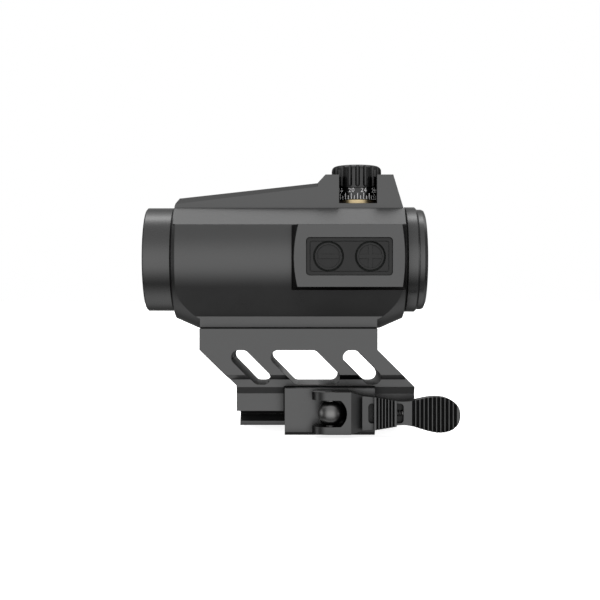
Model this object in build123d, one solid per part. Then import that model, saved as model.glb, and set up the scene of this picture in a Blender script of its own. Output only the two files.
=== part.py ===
from build123d import *
import os
from math import atan, cos, degrees, pi, radians, sin, sqrt

# A closed-tube red dot sight on a skeleton riser with a quick-detach rail clamp.
# Millimetres. +X runs back to the eyepiece, +Y to the shooter's right, +Z up.
# The origin is the cross bolt's X, on the rail's middle plane, at the seat on top of the rail.

# ---- Rail (a standard cross-slotted rail: what the clamp is made for) ----
rail_top_width = 15.67
rail_width = 21.21
rail_clearance = 0.10

# ---- Optical tube ----
axis_height = 40.7
bore_radius = 12.4
body_front = -42.1
body_rear = 20.7
side_wall = 4.1
side_radius = bore_radius + side_wall
top_wall = 1.1
top_flat = bore_radius + top_wall
top_flat_half = 9.4
shoulder_height = 8.8
side_bottom = 8.4
flange_half = 10.4
flange_wall = 6.3
flange_height = 3.2
flange_depth = bore_radius + flange_wall
lower_flat_bottom = flange_depth - flange_height
seam_height = 0.3
seam_depth = 0.6
end_step = 0.4
end_radius = side_radius - end_step
end_slope = 0.44
nose_length = 0.6
nose_drop = 1.8
shoulder_front_inset = 0.8
shoulder_rear_inset = 0.6

# ---- Objective hood and front window ----
thread_step = 1.0
thread_radius = bore_radius + thread_step
hood_wall = 0.7
hood_radius = thread_radius + hood_wall
hood_length = 7.3
hood_gap = 0.08
hood_mouth_step = 0.2
hood_mouth_radius = bore_radius + hood_mouth_step
thread_length = 4.5
thread_clearance = 0.05
window_thickness = 1.6
window_clearance = 0.05
seal_thickness = 0.8
clear_step = 0.8
clear_radius = bore_radius - clear_step

# ---- Rear ring, eyepiece ring and rear window ----
rear_gap = 0.1
rear_ring_wall = 0.96
rear_ring_radius = thread_radius + rear_ring_wall
rear_ring_length = 3.1
rear_ring_chamfer = 0.5
eyepiece_wall = 1.3
eyepiece_radius = bore_radius + eyepiece_wall
eyepiece_length = 2.15
eyepiece_rounding = 0.9
eyepiece_thread_radius = bore_radius
rear_thread_length = 4.0
rear_window_step = 0.3
rear_window_radius = bore_radius - rear_window_step

# ---- Hump and turret guards ----
hump_front_height = top_flat + 2.5
hump_rear_height = top_flat + 6.6
hump_front = body_front + 2.2
hump_nose = body_front + 1.05
hump_nose_height = top_flat + 1.1
guard_foot = -3.1
guard_front = -1.0
guard_top = top_flat + 8.9
guard_rear = 17.1
guard_tail = 19.8
hump_edge_front = 1.5
hump_edge_rear = 1.05
hump_edge_depth = 0.3

# ---- Turrets (heights are distances from the optical axis) ----
turret_x = 7.7
pocket_wall = 2.35
pocket_floor = bore_radius + pocket_wall
window_half = 5.05
pocket_gap = 0.9
dial_radius = 6.4
pocket_radius = dial_radius + pocket_gap
base_radius = dial_radius
base_top = pocket_floor + 1.2
base_thread_radius = 4.6
base_thread_depth = 1.75
base_seal_thickness = 0.5
base_seal_room = 0.7
base_post_radius = 2.9
base_post_top = base_top + 2.25
dial_gap = 0.1
dial_top = base_top + 3.35
dial_web_top = base_top + 1.45
knob_overhang = 0.4
knob_radius = dial_radius + knob_overhang
knob_top = dial_top + 6.2
knob_rounding = 1.3
knob_spigot = 1.2
flute_count = 20
flute_radius = 0.66
flute_depth = 0.5
screw_radius = 1.5
running_clearance = 0.05
screw_gap = 0.1
screw_travel = 0.5
screw_top = dial_top + 1.1
clip_radius = 3.9
clip_thickness = 0.5
clip_groove = 0.4
click_count = 48
click_radius = 0.22
click_circle = dial_radius - 1.2
ball_radius = 0.6

# ---- Windage guard on the right-hand side ----
side_guard_front = -2.6
side_guard_rear = 18.0
side_guard_half = 9.4
side_guard_top = pocket_floor + 5.65
side_guard_chamfer = 1.6

# ---- Keypad ----
pod_step = 1.1
pod_face = side_radius + pod_step
pod_front = -9.4
pod_rear = 19.5
pod_front_slope = 1.75
pod_rear_slope = 2.8
pod_top = 8.6
pod_bottom = 7.7
pod_foot = 8.5
pod_foot_y = 14.0
pad_x = 5.05
pad_rise = 0.25
pad_length = 22.5
pad_height = 9.9
pad_corner = 0.9
pad_sink = 0.35
pad_thickness = 1.6
pad_clearance = 0.1
pad_lip = 0.8
pad_lip_depth = 0.25
pad_line_width = 0.25
button_spacing = 10.9
button_radius = 3.55
button_gap = 0.47
button_hole_radius = button_radius + button_gap
button_height = 1.35
button_stand = 0.05
stem_radius = 1.2
symbol_height = 0.2
minus_length = 5.3
plus_length = 6.0
symbol_width = 1.05
dome_radius = 2.4
dome_height = 0.7
dome_wall = 0.15
dome_gap = 0.02
board_thickness = 0.8

# ---- Battery compartment on the right-hand side ----
cell_radius = 10.0
cell_thickness = 3.2
cell_clearance = 0.3
cell_wall = 1.2
cell_floor = bore_radius + cell_wall
contact_thickness = 0.15
battery_boss_radius = cell_radius + 2.4
battery_spacing = 0.6
battery_x = side_guard_front - battery_boss_radius - battery_spacing
battery_boss_top = cell_floor + contact_thickness + cell_thickness + 0.65
cap_thread_radius = cell_radius + 1.3
cap_thread_depth = 1.8
cap_height = 2.4
cap_slot_width = 2.0
cap_slot_depth = 1.1
cap_grip_count = 36
cap_seal_radius = 0.45

# ---- Inner tube, its gimbal and the optics ----
tube_gap = 1.2
tube_wall = 0.9
tube_outer = bore_radius - tube_gap
tube_inner = tube_outer - tube_wall
tube_front = body_front + 2.5
tube_rear = 14.0
pivot_x = body_front + 9.5
gimbal_width = 4.0
gimbal_inner = tube_outer + 0.25
gimbal_outer = bore_radius - 0.2
pivot_pin_radius = 0.7
pivot_pin_depth = 1.6
lens_radius = tube_outer - 0.45
lens_seat_depth = 4.4
lens_sag_front = 0.7
lens_sag_middle = 1.0
lens_retainer_length = 1.0
spring_width = 4.0
spring_length = 18.0
spring_thickness = 0.25
spring_clearance = 0.03
spring_angle = 225
emitter_length = 3.0
emitter_width = 4.2
emitter_inset = 2.6

# ---- Riser ----
riser_half = 12.0
riser_front = -34.45
riser_rear = 12.75
deck_bottom = 16.4
foot_front = -24.7
foot_rear = 22.7
foot_top_front = 6.85
foot_top_rear = 6.5
step_top = 9.75
step_bottom = 8.5
band_half = 10.4
groove_top = 6.45
groove_bottom = 4.7
base_half = 9.4
slot_top = 16.3
slot_bottom = 7.1
slot_fillet = 1.9
slot_lefts = (-28.7, -18.2, 0.9)
slot_widths = (6.5, 14.5, 6.3)
far_jaw_half = 13.6
jaw_bottom = -5.75
jaw_tooth_inset = 8.9
jaw_tooth_top = -4.55

# ---- Riser screws ----
screw_rows = (-25.45, 4.1)
screw_half_spacing = 6.0
mount_screw_radius = 1.5
mount_head_radius = 2.1
mount_head_height = 1.8
mount_head_recess = 2.1
mount_screw_depth = 5.0

# ---- Moving jaw and cross bolt ----
jaw_half_length = 11.8
jaw_face = 15.5
jaw_back = 8.9
jaw_top = 6.5
jaw_end_gap = 0.3
jaw_chamfer = 0.8
bolt_z = 0.55
bolt_radius = 2.5
bolt_clearance = 0.08
bolt_eye_radius = 3.3
bolt_eye_half = 3.1
bolt_eye_gap = 0.85
nut_radius = 4.6
nut_thickness = 3.2
nut_recess = 1.6
guide_pin_radius = 1.1
guide_pin_x = 8.0
guide_pin_z = 3.3
guide_pin_reach = 2.6
jaw_spring_x = 4.9
jaw_spring_radius = 1.1
jaw_spring_wall = 0.35
jaw_spring_length = 3.4

# ---- Quick-detach lever ----
pin_y = -21.3
pin_radius = 1.25
lever_gap = 0.05
cam_radius = 5.2
cam_shift_x = 0.5
cam_shift_y = -jaw_face - lever_gap - pin_y - cam_radius
clevis_right = 5.2
clevis_top = 6.1
clevis_bottom = -4.7
clevis_face = -24.2
ear_rounding = 4.35
window_top = bolt_z + bolt_eye_half + 0.35
window_bottom = bolt_z - bolt_eye_half - 0.2
window_right = bolt_eye_radius + bolt_eye_gap
window_rounding = 4.3
arm_start = 8.2
arm_half = 4.4
arm_face = -21.0
arm_back = -16.1
neck_x = 20.0
neck_half = 3.1
paddle_wide_x = 28.7
paddle_half = 4.55
paddle_drop = 0.4
paddle_end = 33.4
groove_start = 21.4
groove_pitch = 1.07
groove_width = 0.86
groove_depth = 0.55
groove_end_margin = 1.0
lever_z = 0.45

# ---- Lever lock ----
lock_slot_front = 9.75
lock_slot_rear = 18.8
lock_slot_half = 2.55
lock_slot_depth = 1.9
lock_front = 11.2
lock_rear = 16.95
lock_half_front = 4.25
lock_half_rear = 3.3
lock_height = 1.1
lock_clearance = 0.12
lock_rib_count = 7
lock_groove_width = 0.60
lock_groove_depth = 0.45
lock_spring_seat = 0.9
lock_spring_radius = 0.8
lock_spring_wall = 0.25


# ---------------------------------------------------------------- helpers
def block(x0, x1, y0, y1, z0, z1):
    return Pos((x0 + x1) / 2, (y0 + y1) / 2, (z0 + z1) / 2) * Box(x1 - x0, y1 - y0, z1 - z0)


def outline_face(points):
    return make_face(Polyline(*points, close=True))


def side_prism(points, y0, y1):
    """A prism along Y from an outline of (x, z) points."""
    plane = Plane(origin=(0, y1, 0), x_dir=(1, 0, 0), z_dir=(0, -1, 0))
    return extrude(plane * outline_face(points), amount=y1 - y0)


def end_prism(points, x0, x1):
    """A prism along X from an outline of (y, z) points."""
    plane = Plane(origin=(x0, 0, 0), x_dir=(0, 1, 0), z_dir=(1, 0, 0))
    return extrude(plane * outline_face(points), amount=x1 - x0)


def plan_prism(face, z0, z1):
    """A prism along Z from a face drawn in the XY plane."""
    return extrude(Pos(0, 0, z0) * face, amount=z1 - z0)


def turned(points):
    """A solid of revolution about local Z from (radius, height) points."""
    return revolve(Plane.XZ * outline_face(points), axis=Axis.Z)


def collar(outer, inner, low, high):
    """A plain ring about local Z."""
    return turned([(inner, low), (outer, low), (outer, high), (inner, high)])


def rod(radius, low, high):
    return Pos(0, 0, (low + high) / 2) * Cylinder(radius, high - low)


def o_ring(radius, thickness, height):
    return Pos(0, 0, height) * Torus(radius, thickness / 2)


# Local frames: +Z of each one points along the named direction.
along_tube = Location((0, 0, axis_height), (0, 90, 0))
up_turret = Location((turret_x, 0, axis_height))
side_turret = Location((turret_x, 0, axis_height), (-90, 0, 0))
battery_side = Location((battery_x, 0, axis_height), (-90, 0, 0))


def across(x, z):
    """A frame on the Y direction through (x, z): local +Z runs along +Y."""
    return Location((x, 0, z), (-90, 0, 0))


# ---------------------------------------------------------------- main housing
def tube_section():
    """Half of the housing's end outline, then its mirror image: a barrel side between flats."""
    z = axis_height
    top_y = sqrt(side_radius**2 - shoulder_height**2)
    low_y = sqrt(side_radius**2 - side_bottom**2)
    seam_y = flange_half - seam_depth
    seam_top = z - flange_depth + seam_height
    right = [
        Line((0, z + top_flat), (top_flat_half, z + top_flat)),
        Line((top_flat_half, z + top_flat), (top_y, z + shoulder_height)),
        ThreePointArc((top_y, z + shoulder_height), (side_radius, z), (low_y, z - side_bottom)),
        Line((low_y, z - side_bottom), (flange_half, z - lower_flat_bottom)),
        Line((flange_half, z - lower_flat_bottom), (flange_half, seam_top)),
        Line((flange_half, seam_top), (seam_y, seam_top)),
        Line((seam_y, seam_top), (seam_y, z - flange_depth)),
        Line((seam_y, z - flange_depth), (0, z - flange_depth)),
    ]
    left = [edge.mirror(Plane.YZ) for edge in right]
    return make_face(right + left)


def end_limits():
    """What the housing's ends stay inside: a nose and a cone, and above the shoulder the nose alone."""
    front = body_front + nose_length
    rear = body_rear - nose_length
    outside = 2 * flange_depth
    profile = [
        (0, body_front),
        (end_radius - nose_drop, body_front),
        (end_radius, front),
        (end_radius + (riser_front - front) * end_slope, riser_front),
        (outside, riser_front),
        (outside, riser_rear),
        (end_radius + (rear - riser_rear) * end_slope, riser_rear),
        (end_radius, rear),
        (end_radius - nose_drop, body_rear),
        (0, body_rear),
    ]
    low = axis_height + shoulder_height
    upper_front = body_front + shoulder_front_inset
    upper_rear = body_rear - shoulder_rear_inset
    upper = block(upper_front, upper_rear, -outside, outside, low, low + outside)
    return along_tube * turned(profile) + upper


def hump():
    """The wedge over the tube that rises into the guards around the elevation turret."""
    z = axis_height
    front = body_front + shoulder_front_inset
    outline = [
        (front, z + shoulder_height),
        (front, z + top_flat + seam_height),
        (hump_nose, z + hump_nose_height),
        (hump_front, z + hump_front_height),
        (guard_foot, z + hump_rear_height),
        (guard_front, z + guard_top),
        (guard_rear, z + guard_top),
        (guard_tail, z + top_flat),
        (guard_tail, z + shoulder_height),
    ]
    wedge = side_prism(outline, -top_flat_half, top_flat_half)
    # A tapering bevel runs along both upper edges of the ramp.
    slope = (hump_rear_height - hump_front_height) / (guard_foot - hump_front)
    start = z + hump_front_height + (front - hump_front) * slope
    for side in (-1, 1):
        foot = (front, side * top_flat_half, start)
        front_cut = Plane(origin=foot, x_dir=(0, side, 0), z_dir=(-1, 0, 0))
        tip = (guard_foot, side * top_flat_half, z + hump_rear_height)
        rear_cut = Plane(origin=tip, x_dir=(0, side, 0), z_dir=(-1, 0, 0))
        wedge -= loft([front_cut * bevel_corner(hump_edge_front), rear_cut * bevel_corner(hump_edge_rear)])
    return wedge


def bevel_corner(height):
    """A three-cornered cutter section that takes off an edge at the section's origin."""
    outside = 0.02
    return outline_face([(-hump_edge_depth, outside), (outside, outside), (outside, -height)])


def pod():
    """The raised flat on the left side that carries the keypad."""
    z = axis_height
    outline = [
        (-10, z + pod_top),
        (-pod_face, z + pod_top),
        (-pod_face, z - pod_bottom),
        (-pod_foot_y, z - pod_foot),
        (-10, z - pod_foot),
    ]
    pad = end_prism(outline, pod_front - 3, pod_rear + 3)
    reach = 4.0
    profile = [
        (0, pod_front - reach / pod_front_slope),
        (pod_face - reach, pod_front - reach / pod_front_slope),
        (pod_face + reach, pod_front + reach / pod_front_slope),
        (pod_face + reach, pod_rear - reach / pod_rear_slope),
        (pod_face - 1.6, pod_rear + 1.6 / pod_rear_slope),
        (0, pod_rear + 1.6 / pod_rear_slope),
    ]
    return pad & (along_tube * turned(profile))


def side_guard():
    """The block on the right side that shields the windage turret."""
    z = axis_height
    low = z - side_guard_half
    high = z + side_guard_half
    body = block(side_guard_front, side_guard_rear, 10, side_guard_top, low, high)
    outer_edges = body.faces().sort_by(Axis.Y)[-1].edges()
    return chamfer(outer_edges, side_guard_chamfer)


def turret_cuts():
    """What both turrets need taken out of the housing, in a turret's own frame."""
    cut = rod(pocket_radius, pocket_floor, guard_top + 10)
    cut += rod(base_thread_radius + thread_clearance, pocket_floor - base_thread_depth, pocket_floor + 1)
    cut += rod(screw_radius + 1.0, bore_radius - 2, pocket_floor)
    return cut


def keypad_cuts():
    """The recess for the rubber pad, with a second step for the circuit board behind it."""
    y = -pod_face
    depth = pad_sink + pad_thickness
    x = pad_x
    z = axis_height + pad_rise
    plane = Plane(origin=(x, y - 1, z), x_dir=(1, 0, 0), z_dir=(0, 1, 0))
    opening = RectangleRounded(pad_length, pad_height, pad_corner)
    cut = extrude(plane * opening, amount=1 + depth)
    inner = RectangleRounded(pad_length - 2 * pad_lip, pad_height - 2 * pad_lip, pad_corner)
    cut += extrude(plane * inner, amount=1 + depth + dome_height + dome_gap + board_thickness)
    return cut


def battery_cuts():
    """The cell pocket, the cap's thread and the seal's seat, in the battery's own frame."""
    cut = rod(cell_radius + cell_clearance, cell_floor, battery_boss_top + 1)
    thread_floor = battery_boss_top - cap_thread_depth - 0.2
    cut += rod(cap_thread_radius + thread_clearance, thread_floor, battery_boss_top + 1)
    return cut


def main_housing():
    plane = Plane(origin=(body_front, 0, 0), x_dir=(0, 1, 0), z_dir=(1, 0, 0))
    shell = extrude(plane * tube_section(), amount=body_rear - body_front)
    z = axis_height
    shell = shell & end_limits()
    shell += hump()
    shell += pod()
    shell += side_guard()
    shell += battery_side * rod(battery_boss_radius, 10, battery_boss_top)
    shell -= along_tube * rod(bore_radius, body_front - 1, body_rear + 1)
    shell -= along_tube * rod(thread_radius, body_front - 1, body_front + thread_length)
    shell -= along_tube * rod(thread_radius, body_rear - rear_thread_length, body_rear + 1)
    shell -= up_turret * turret_cuts()
    shell -= side_turret * turret_cuts()
    window_low = z + pocket_floor
    shell -= block(turret_x - window_half, turret_x + window_half, -12, 12, window_low, z + 30)
    shell -= block(turret_x - window_half, turret_x + window_half, pocket_floor, 30, z - 12, z + 12)
    shell -= keypad_cuts()
    shell -= battery_side * battery_cuts()
    for side in (-90, 90):
        pin_hole = rod(pivot_pin_radius + running_clearance, gimbal_inner, bore_radius + pivot_pin_depth)
        shell -= Location((pivot_x, 0, z), (side, 0, 0)) * pin_hole
    for x in screw_rows:
        for y in (-screw_half_spacing, screw_half_spacing):
            bottom = z - flange_depth
            shell -= Pos(x, y, 0) * rod(mount_screw_radius, bottom - 1, bottom + mount_screw_depth + 0.3)
    return shell


# ---------------------------------------------------------------- front and rear rings
def objective_hood():
    """The hood ring: an open mouth in front, a window seat behind and a threaded neck."""
    front = body_front - hood_gap - hood_length
    back = body_front - hood_gap
    end = body_front + thread_length
    seat = back - 0.6
    neck = thread_radius - thread_clearance
    profile = [
        (hood_mouth_radius, front),
        (hood_radius - 0.35, front),
        (hood_radius, front + 0.35),
        (hood_radius, back),
        (neck, back),
        (neck, end),
        (hood_mouth_radius, end),
        (hood_mouth_radius, seat),
        (clear_radius, seat),
        (clear_radius, seat - 0.9),
        (hood_mouth_radius, seat - 0.9),
    ]
    return along_tube * turned(profile)


def front_window():
    seat = body_front - hood_gap - 0.6
    low = seat + seal_thickness
    return along_tube * rod(hood_mouth_radius - window_clearance, low, low + window_thickness)


def front_window_seal():
    seat = body_front - hood_gap - 0.6
    middle = hood_mouth_radius - window_clearance - seal_thickness / 2
    return along_tube * o_ring(middle, seal_thickness, seat + seal_thickness / 2)


def rear_ring():
    """The rear ring: a threaded neck in the housing, and a seat for the rear window."""
    start = body_rear - rear_thread_length
    back = body_rear + rear_gap
    end = back + rear_ring_length
    seat = back - 0.9
    neck = thread_radius - thread_clearance
    bore = rear_window_radius + window_clearance
    profile = [
        (clear_radius, start),
        (neck, start),
        (neck, back),
        (rear_ring_radius, back),
        (rear_ring_radius, end - rear_ring_chamfer),
        (rear_ring_radius - rear_ring_chamfer, end),
        (eyepiece_thread_radius, end),
        (eyepiece_thread_radius, seat + seal_thickness + window_thickness),
        (bore, seat + seal_thickness + window_thickness),
        (bore, seat),
        (clear_radius, seat),
    ]
    return along_tube * turned(profile)


def rear_window():
    low = body_rear + rear_gap - 0.9 + seal_thickness
    return along_tube * rod(rear_window_radius, low, low + window_thickness)


def rear_window_seal():
    seat = body_rear + rear_gap - 0.9
    ring = o_ring(rear_window_radius - seal_thickness / 2, seal_thickness, seat + seal_thickness / 2)
    return along_tube * ring


def eyepiece_ring():
    """The last ring: it screws into the rear ring and holds the rear window against its seal."""
    front = body_rear + rear_gap + rear_ring_length
    end = front + eyepiece_length
    foot = body_rear + rear_gap - 0.9 + seal_thickness + window_thickness
    neck = eyepiece_thread_radius - thread_clearance
    inner = clear_radius - 0.3
    profile = [
        (inner, foot),
        (neck, foot),
        (neck, front),
        (eyepiece_radius, front),
        (eyepiece_radius, end - eyepiece_rounding),
        (eyepiece_radius - eyepiece_rounding * 0.3, end - eyepiece_rounding * 0.3),
        (eyepiece_radius - eyepiece_rounding, end),
        (inner + 0.5, end),
        (inner, end - 0.5),
    ]
    return along_tube * turned(profile)


# ---------------------------------------------------------------- inner tube and optics
def gimbal_ring():
    """The ring that lets the inner tube tilt both ways about its front end."""
    half = gimbal_width / 2
    ring = along_tube * collar(gimbal_outer, gimbal_inner, pivot_x - half, pivot_x + half)
    for turn in (-90, 90):
        hole = rod(pivot_pin_radius, gimbal_inner - 1, gimbal_outer + 1)
        ring -= Location((pivot_x, 0, axis_height), (turn, 0, 0)) * hole
    for turn in (0, 180):
        hole = rod(pivot_pin_radius + running_clearance, gimbal_inner - 1, gimbal_outer + 1)
        ring -= Location((pivot_x, 0, axis_height), (turn, 0, 0)) * hole
    return ring


def pivot_pins(turns, low, high):
    pins = [
        Location((pivot_x, 0, axis_height), (turn, 0, 0)) * rod(pivot_pin_radius, low, high)
        for turn in turns
    ]
    return Compound(children=pins)


def inner_tube():
    """The sight's inner barrel, stepped at the front for the lenses and flat under each screw."""
    seat = tube_front + lens_retainer_length + lens_seat_depth
    profile = [
        (tube_inner, tube_rear),
        (tube_outer, tube_rear),
        (tube_outer, tube_front),
        (lens_radius + 0.05, tube_front),
        (lens_radius + 0.05, seat),
        (tube_inner, seat),
    ]
    tube = along_tube * turned(profile)
    flat = tube_outer - 0.25
    for frame in (up_turret, side_turret):
        tube -= frame * (Pos(0, 0, flat + 2) * Box(5, 5, 4))
    for turn in (0, 180):
        hole = rod(pivot_pin_radius, tube_inner - 0.5, tube_outer + 1)
        tube -= Location((pivot_x, 0, axis_height), (turn, 0, 0)) * hole
    tube -= emitter_seat()
    return tube


def emitter_seat():
    """A notch in the inner tube's rear end that the emitter holder drops into."""
    low = tube_rear - emitter_inset
    notch = Pos(0, 0, (low + tube_rear + 1) / 2) * Box(emitter_width, emitter_width, tube_rear + 1 - low)
    return Location((0, 0, axis_height), (0, 90, 0)) * Rot(0, 0, 45) * Pos(tube_outer, 0, 0) * notch


def lens_pair():
    """The cemented reflecting doublet: a front and a rear element that share one curved face."""
    front = tube_front + lens_retainer_length + 0.1
    back = tube_front + lens_retainer_length + lens_seat_depth
    middle = (front + back) / 2
    blank = rod(lens_radius, front, back)
    first_radius = (lens_radius**2 + lens_sag_front**2) / (2 * lens_sag_front)
    shared_radius = (lens_radius**2 + lens_sag_middle**2) / (2 * lens_sag_middle)
    outer_ball = Pos(0, 0, front + first_radius) * Sphere(first_radius)
    shared_centre = middle - lens_sag_middle / 2 + shared_radius
    shared_ball = Pos(0, 0, shared_centre) * Sphere(shared_radius)
    lens = blank & outer_ball
    return along_tube * (lens - shared_ball), along_tube * (lens & shared_ball)


def lens_retainer():
    ring = collar(lens_radius, lens_radius - 1.0, tube_front, tube_front + lens_retainer_length)
    for turn in (0, 90):
        ring -= Rot(0, 0, turn) * (Pos(0, 0, tube_front) * Box(30, 1.0, 0.9))
    return along_tube * ring


def emitter_holder():
    """A small wedge on the tube's rear edge that holds the light source just inside the bore."""
    low = tube_rear - emitter_inset
    centre = Pos(tube_outer - 2.0, 0, low + emitter_length / 2)
    body = centre * Box(4.0, emitter_width - 0.2, emitter_length)
    body = body & collar(tube_outer, tube_inner - 2.4, low - 1, low + emitter_length + 1)
    body -= Pos(tube_inner - 1.4, 0, low) * Box(1.2, 1.2, 1.0)
    return Location((0, 0, axis_height), (0, 90, 0)) * Rot(0, 0, 45) * body


def emitter():
    low = tube_rear - emitter_inset
    chip = Pos(tube_inner - 1.4, 0, low + 0.25) * Box(1.1, 1.1, 0.5)
    return Location((0, 0, axis_height), (0, 90, 0)) * Rot(0, 0, 45) * chip


def return_spring():
    """A bowed leaf between the bore and the inner tube, opposite both adjusting screws."""
    gap_low = tube_outer + spring_clearance
    gap_high = sqrt(bore_radius**2 - (spring_width / 2) ** 2) - spring_clearance
    half = spring_length / 2
    middle = tube_rear - half - 0.3
    front = middle - half
    back = middle + half
    near = -gap_high + spring_thickness
    outer = ThreePointArc((front, -gap_high), (middle, -gap_low - spring_thickness), (back, -gap_high))
    inner = ThreePointArc((front, near), (middle, -gap_low), (back, near))
    ends = [Line(outer @ 0, inner @ 0), Line(outer @ 1, inner @ 1)]
    face = make_face([outer, inner] + ends)
    strip = extrude(Plane.XZ * face, amount=spring_width / 2, both=True)
    lean = spring_angle - 180
    return Location((0, 0, axis_height), (-lean, 0, 0)) * strip


# ---------------------------------------------------------------- turrets
def turret_base():
    """The brass body: a flange that shows under the dial, a threaded foot and a hollow post."""
    foot = pocket_floor - base_thread_depth
    hole = screw_radius + running_clearance
    groove = base_post_radius - clip_groove
    clip_low = dial_web_top + dial_gap
    profile = [
        (hole, foot),
        (base_thread_radius, foot),
        (base_thread_radius, pocket_floor + base_seal_thickness),
        (base_thread_radius + base_seal_room, pocket_floor + base_seal_thickness),
        (base_thread_radius + base_seal_room, pocket_floor),
        (base_radius, pocket_floor),
        (base_radius, base_top),
        (base_post_radius, base_top),
        (base_post_radius, clip_low),
        (groove, clip_low),
        (groove, clip_low + clip_thickness),
        (base_post_radius, clip_low + clip_thickness),
        (base_post_radius, base_post_top),
        (hole, base_post_top),
    ]
    base = turned(profile)
    for click in PolarLocations(click_circle, click_count):
        base -= click * (Pos(0, 0, base_top) * Sphere(click_radius))
    return base


def turret_screw():
    """The adjusting screw that bears on the inner tube and turns with the knob."""
    foot = tube_outer - 0.25 + screw_gap
    screw = rod(screw_radius, foot, screw_top)
    return screw - Pos(0, 0, screw_top) * Box(0.6, 4, 1.6)


def turret_dial():
    """The numbered ring: a web on the post, a skirt, and a thread for the knob."""
    low = base_top + dial_gap
    bore = base_post_radius + running_clearance
    spigot = clip_radius + 0.6
    profile = [
        (bore, low),
        (dial_radius, low),
        (dial_radius, dial_top),
        (spigot, dial_top),
        (spigot, dial_web_top),
        (bore, dial_web_top),
    ]
    dial = turned(profile)
    return dial - Pos(click_circle, 0, low) * rod(ball_radius + running_clearance, -1, 1.3)


def turret_ball():
    """The click ball in the dial's underside."""
    low = base_top + dial_gap
    return Pos(click_circle, 0, low + ball_radius) * Sphere(ball_radius)


def turret_clip():
    low = dial_web_top + dial_gap
    clip = collar(clip_radius, base_post_radius - clip_groove, low, low + clip_thickness)
    return clip - Pos(clip_radius, 0, low) * Box(3.5, 1.6, 4)


def turret_knob():
    """The fluted knob with a rounded rim, screwed into the dial."""
    inner = screw_radius + running_clearance
    neck = clip_radius + 0.6 - thread_clearance
    spigot = dial_top - knob_spigot
    cup = clip_radius
    hollow_top = dial_top + 0.3
    screw_room = screw_top + screw_travel + 0.4
    profile = [
        (cup, spigot),
        (neck, spigot),
        (neck, dial_top),
        (knob_radius, dial_top),
        (knob_radius, knob_top - knob_rounding),
    ]
    for step in range(1, 6):
        turn = radians(90 * step / 5)
        profile.append((
            knob_radius - knob_rounding + knob_rounding * cos(turn),
            knob_top - knob_rounding + knob_rounding * sin(turn),
        ))
    profile += [
        (0, knob_top),
        (0, screw_room),
        (inner, screw_room),
        (inner, hollow_top),
        (cup, hollow_top),
    ]
    knob = turned(profile)
    centre = knob_radius + flute_radius - flute_depth
    flute = rod(flute_radius, dial_top + flute_radius + 0.15, knob_top + 1)
    flute += Pos(0, 0, dial_top + flute_radius + 0.15) * Sphere(flute_radius)
    cutters = [place * flute for place in PolarLocations(centre, flute_count)]
    knob = knob.cut(*cutters)
    slot = Pos(0, 0, knob_top) * Box(knob_radius * 1.3, 1.1, 1.2)
    return knob - slot


def turret_seal():
    """The o-ring in the groove under the base's flange, on the housing's pocket floor."""
    radius = base_thread_radius + base_seal_room / 2
    return o_ring(radius, base_seal_thickness, pocket_floor + base_seal_thickness / 2)


# ---------------------------------------------------------------- keypad
def keypad_plane(depth):
    """A drawing plane on the keypad, depth below the pod's face, looking into the housing."""
    origin = (pad_x, -pod_face + depth, axis_height + pad_rise)
    return Plane(origin=origin, x_dir=(1, 0, 0), z_dir=(0, 1, 0))


def keypad():
    """The rubber pad: a raised rim line around a flat field with two round button holes."""
    length = pad_length - 2 * pad_clearance
    height = pad_height - 2 * pad_clearance
    pad = extrude(keypad_plane(pad_sink) * RectangleRounded(length, height, pad_corner - pad_clearance),
                  amount=pad_thickness)
    field = RectangleRounded(length - 2 * pad_lip, height - 2 * pad_lip, pad_corner * 0.7)
    line_inset = 2 * (pad_lip + pad_line_width)
    line = field - RectangleRounded(length - line_inset, height - line_inset, pad_corner * 0.5)
    pad -= extrude(keypad_plane(pad_sink - 0.1) * line, amount=0.1 + pad_lip_depth)
    for side in (-1, 1):
        hole = Pos(side * button_spacing / 2, 0) * Circle(button_hole_radius)
        pad -= extrude(keypad_plane(-1) * hole, amount=1 + pad_sink + pad_thickness + 1)
    return pad


def button(side, bars):
    """A round button with a raised sign on its face."""
    centre = Pos(side * button_spacing / 2, 0)
    face = pad_sink - button_stand
    back = face + button_height
    cap = extrude(keypad_plane(face) * (centre * Circle(button_radius)), amount=button_height)
    stem_length = pad_sink + pad_thickness - dome_gap - back
    if stem_length > 0:
        cap += extrude(keypad_plane(back) * (centre * Circle(stem_radius)), amount=stem_length)
    for length, width in bars:
        bar = centre * Rectangle(length, width)
        cap += extrude(keypad_plane(face - symbol_height) * bar, amount=symbol_height + 0.1)
    return cap


def dome(side):
    """A snap dome under a button: a shallow bent disc on the circuit board."""
    face = pad_sink + pad_thickness
    ball = (dome_radius**2 + dome_height**2) / (2 * dome_height)
    outer = Sphere(ball) - Pos(0, 0, -(dome_height)) * Box(40, 40, 2 * ball)
    inner = Sphere(ball - dome_wall)
    cap = Pos(0, 0, -ball) * (outer - inner)
    x = pad_x + side * button_spacing / 2
    return Location((x, -pod_face + face, axis_height + pad_rise), (90, 0, 0)) * cap


def keypad_board():
    depth = pad_sink + pad_thickness + dome_height + dome_gap
    length = pad_length - 2 * pad_lip - 2 * pad_clearance
    height = pad_height - 2 * pad_lip - 2 * pad_clearance
    board = RectangleRounded(length, height, pad_corner - pad_clearance)
    return extrude(keypad_plane(depth) * board, amount=board_thickness)


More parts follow.
